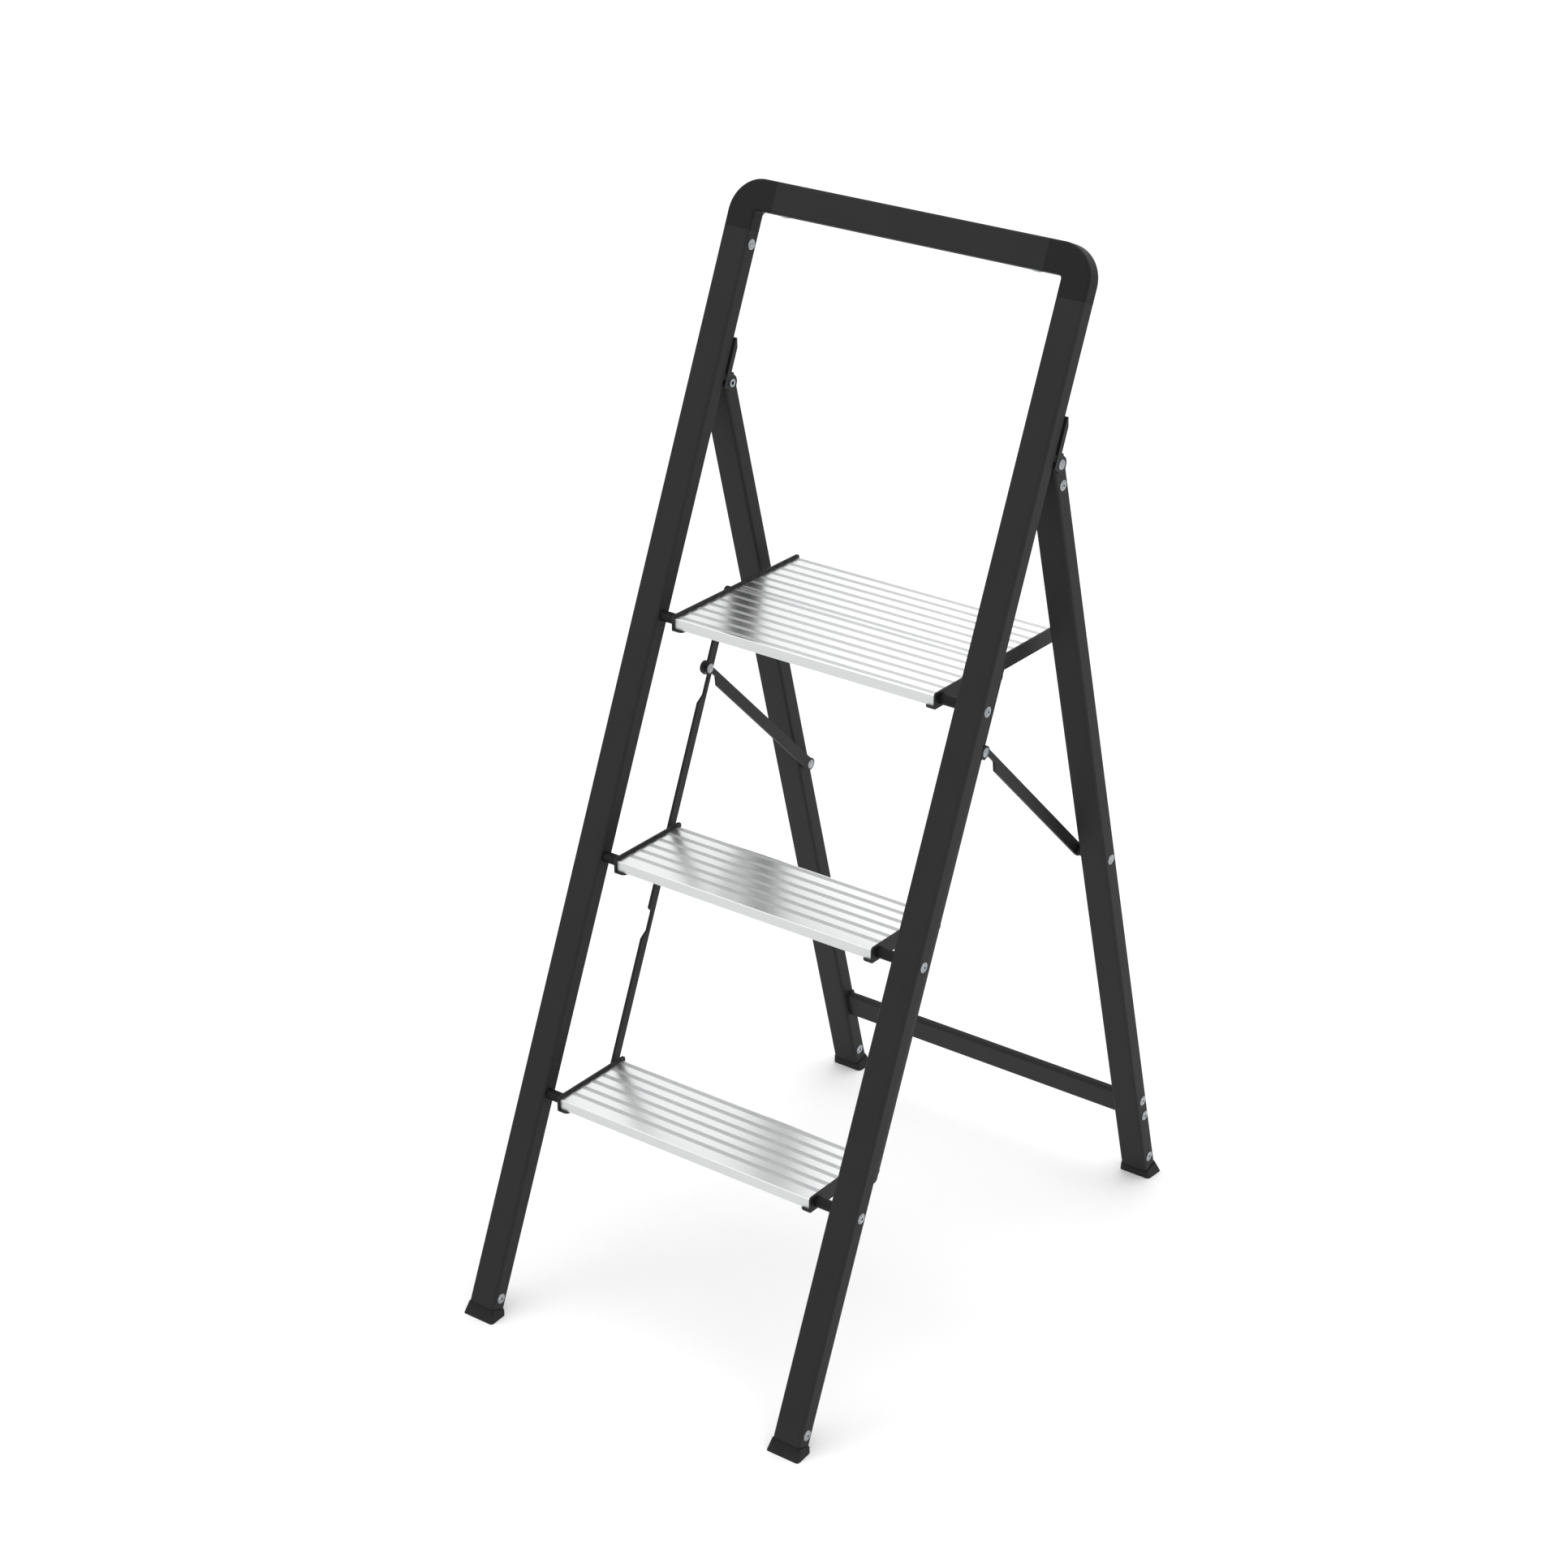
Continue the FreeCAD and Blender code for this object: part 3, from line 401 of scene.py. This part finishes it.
def pickFaces(piece, wanted):
    # Edit mode with only the faces selected for which wanted(face) is true.
    bpy.ops.object.mode_set(mode="EDIT")
    bpy.ops.mesh.select_mode(type="FACE")
    bpy.ops.mesh.select_all(action="DESELECT")
    bpy.ops.object.mode_set(mode="OBJECT")
    for face in piece.data.polygons:
        face.select = wanted(face)
    bpy.ops.object.mode_set(mode="EDIT")


def pickEdges(piece, wanted):
    # Edit mode with only the edges selected for which wanted(end, end) is true.
    bpy.ops.object.mode_set(mode="EDIT")
    bpy.ops.mesh.select_mode(type="EDGE")
    bpy.ops.mesh.select_all(action="DESELECT")
    bpy.ops.object.mode_set(mode="OBJECT")
    points = piece.data.vertices
    for edge in piece.data.edges:
        first, second = edge.vertices
        edge.select = wanted(points[first].co, points[second].co)
    bpy.ops.object.mode_set(mode="EDIT")


def copyAt(pattern, place):
    # A copy with a mesh of its own, moved within the mesh.
    twin = pattern.copy()
    twin.data = pattern.data.copy()
    twin.data.transform(place)
    bpy.context.collection.objects.link(twin)
    return twin


def joinAs(name, pieces, body, material):
    # One finished piece of several, riding on its body.
    deselectAll()
    for piece in pieces:
        piece.select_set(True)
    bpy.context.view_layer.objects.active = pieces[0]
    if len(pieces) > 1:
        bpy.ops.object.join()
    whole = startPiece(name)
    whole.data.materials.clear()
    whole.data.materials.append(material)
    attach(whole, body)


# The grooves run along the board. The margin is the plain land outside the last groove.
ribFacts = {
    "pitch": 0.0154, "grooveWidth": 0.0057, "grooveDepth": 0.0004, "margin": 0.0018,
    "ribs": 5, "ribWidth": 0.00100, "ribStep": 0.00112, "ribHeight": 0.00036,
    "round": 0.00020, "roundSteps": 3, "crease": 50,     # crease in degrees
    "endGap": 0.0002, "sunk": 0.00005,
}


def makeRibStrip(facts, length):
    # Rounded ribs side by side along X, centred on y = 0, with their feet sunk just below z = 0.
    deselectAll()
    top = facts["ribHeight"]
    sunk = facts["sunk"]
    bpy.ops.mesh.primitive_cube_add(size=1, location=(0, 0, (top - sunk) / 2),
                                    scale=(length, facts["ribWidth"], top + sunk))
    bpy.ops.object.transform_apply(location=True, rotation=False, scale=True)
    rib = startPiece("rib_strip")
    pickEdges(rib, lambda one, other: min(one.z, other.z) > top / 2
              and abs(one.x - other.x) > length / 2)
    bpy.ops.mesh.bevel(offset=facts["round"], segments=facts["roundSteps"], affect="EDGES")
    bpy.ops.object.mode_set(mode="OBJECT")
    rows = rib.modifiers.new("rows", "ARRAY")
    rows.count = facts["ribs"]
    rows.use_relative_offset = False
    rows.use_constant_offset = True
    rows.constant_offset_displace = (0, facts["ribStep"], 0)
    bpy.ops.object.modifier_apply(modifier="rows")
    middle = facts["ribStep"] * (facts["ribs"] - 1) / 2
    rib.data.transform(Matrix.Translation((0, -middle, 0)))
    bpy.ops.object.shade_smooth_by_angle(angle=math.radians(facts["crease"]))
    return rib


def fillGrooves(facts, material):
    # A strip of ribs in each groove, counted from the rear edge of the board.
    boards = [name for name in frame["nodes"] if slotOf[name] == "tread_aluminium"]
    low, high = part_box(boards[0])
    pattern = makeRibStrip(facts, high.x - low.x - 2 * facts["endGap"])
    edge = facts["margin"] + facts["grooveWidth"] / 2
    for name in boards:
        low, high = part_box(name)
        strips = []
        middle = high.y - edge
        while middle > low.y + edge:
            place = Matrix.Translation((0, middle, high.z - facts["grooveDepth"]))
            strips.append(copyAt(pattern, place))
            middle -= facts["pitch"]
        joinAs(name + "_ribs", strips, bodyOf[name], material)
        print("  ribs on", name + ":", len(strips), "strips")
    bpy.data.objects.remove(pattern)


# What is left of the mandrels in the blind rivets, below the rims of their heads; their near-black
# colour is painted shade of the hole in each head.
mandrelFacts = {
    "radius": 0.00098, "length": 0.0006, "sunk": 0.0009, "corners": 20,
    "tip": 0.00055, "rise": 0.0002, "pitShare": 0.5, "pitDepth": 0.00012,
    "crease": 30,     # degrees
}
# The mandrels' near-black colours are painted shade of the holes in the rivet heads.
mandrelShadeLook = rivetLook | {"dark": (0.035, 0.036, 0.037), "light": (0.09, 0.092, 0.095),
                           "rough": 0.42}
# Which way the heads face.
mandrelRivets = {
    "front_foot_rivets": "side", "rear_foot_rivets": "side", "axle_rivets": "side",
    "leg_cap_rivets": "side", "crossbar_rivets": "side", "hinge_bracket_rivets": "rear",
    "bottom_board_rivets": "down", "middle_board_rivets": "down", "top_board_rivets": "down",
}
throughRivets = ("axle_rivets", "crossbar_rivets")     # heads on the outside only


def makeMandrel(facts):
    # A short stub along +X whose end is snapped to a small raised tip.
    deselectAll()
    bpy.ops.mesh.primitive_cylinder_add(vertices=facts["corners"], radius=facts["radius"],
                                        depth=facts["length"], rotation=(0, math.pi / 2, 0))
    bpy.ops.object.transform_apply(location=True, rotation=True, scale=True)
    stub = startPiece("mandrel")
    pickFaces(stub, lambda face: face.normal.x > 0.9)
    bpy.ops.mesh.inset(thickness=facts["radius"] - facts["tip"], depth=0)
    bpy.ops.transform.translate(value=(facts["rise"], 0, 0))
    bpy.ops.mesh.inset(thickness=facts["tip"] * facts["pitShare"], depth=-facts["pitDepth"])
    bpy.ops.object.mode_set(mode="OBJECT")
    bpy.ops.object.shade_smooth_by_angle(angle=math.radians(facts["crease"]))
    return stub


def solidsOf(name):
    # Corner points of each separate solid of a CAD node. The node's triangles are loose, so
    # those that meet are found by where their corners are.
    node = frame["nodes"][name]
    owner = {}

    def find(key):
        while owner[key] != key:
            owner[key] = owner[owner[key]]
            key = owner[key]
        return key

    keys = [tuple(round(part, 6) for part in point.co) for point in node.data.vertices]
    for key in keys:
        owner.setdefault(key, key)
    for face in node.data.polygons:
        first = find(keys[face.vertices[0]])
        for index in face.vertices[1:]:
            owner[find(keys[index])] = first
    groups = {}
    for key in owner:
        groups.setdefault(find(key), []).append(Vector(key))
    return list(groups.values())


def rivetPlaces(name, way):
    # Where each rivet's head ends, on its axis, and which way it faces: away from the tube in a
    # tube's side, and square to the line of the plate's two rivets in a hinge plate.
    tubeMiddle = sum(corner.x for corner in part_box("upright_right")) / 2
    solids = solidsOf(name)
    centres = []
    for points in solids:
        spans = [(min(axis), max(axis)) for axis in zip(*points)]
        centres.append(Vector([(low + high) / 2 for low, high in spans]))
    places = []
    for points, centre in zip(solids, centres):
        if way == "down":
            facing = Vector((0, 0, -1))
        elif way == "side":
            outwards = 1 if abs(centre.x) > tubeMiddle or name in throughRivets else -1
            facing = Vector((outwards * math.copysign(1, centre.x), 0, 0))
        else:
            sameSide = [other for other in centres if other.x * centre.x > 0]
            mate = max(sameSide, key=lambda other: (other - centre).length)
            along = (mate - centre).normalized()
            facing = Vector((0, abs(along.z), -abs(along.y)))
        reach = max((point - centre).dot(facing) for point in points)
        places.append((centre + facing * reach, facing))
    return places


def addMandrels(facts, material):
    # A stub in each blind rivet, one piece for each group of rivets, coloured near-black as
    # painted shade in the rivet holes.
    stub = makeMandrel(facts)
    for name, way in mandrelRivets.items():
        stubs = []
        for place, facing in rivetPlaces(name, way):
            turn = Vector((1, 0, 0)).rotation_difference(facing).to_matrix().to_4x4()
            sunk = place - facing * facts["sunk"]
            stubs.append(copyAt(stub, Matrix.Translation(sunk) @ turn))
        joinAs(name + "_mandrels", stubs, bodyOf[name], material)
    bpy.data.objects.remove(stub)


bpy.context.scene.view_settings.view_transform = "Standard"
addCamera(cameraView)
addFloor(floorLook)
addLights()
addSky(skyLook)
print("stage 2: camera, floor and", len(lights), "lights")
finishNodes()
print("stage 3: CAD nodes finished,", len(slotOf))
fillGrooves(ribFacts, ribbedAluminium("ribbedAluminium", ribLook))
print("stage 4: tread ribs")
addMandrels(mandrelFacts, platedSteel("mandrelSteelPaintedShade", mandrelShadeLook))
print("stage 5: rivet mandrels")
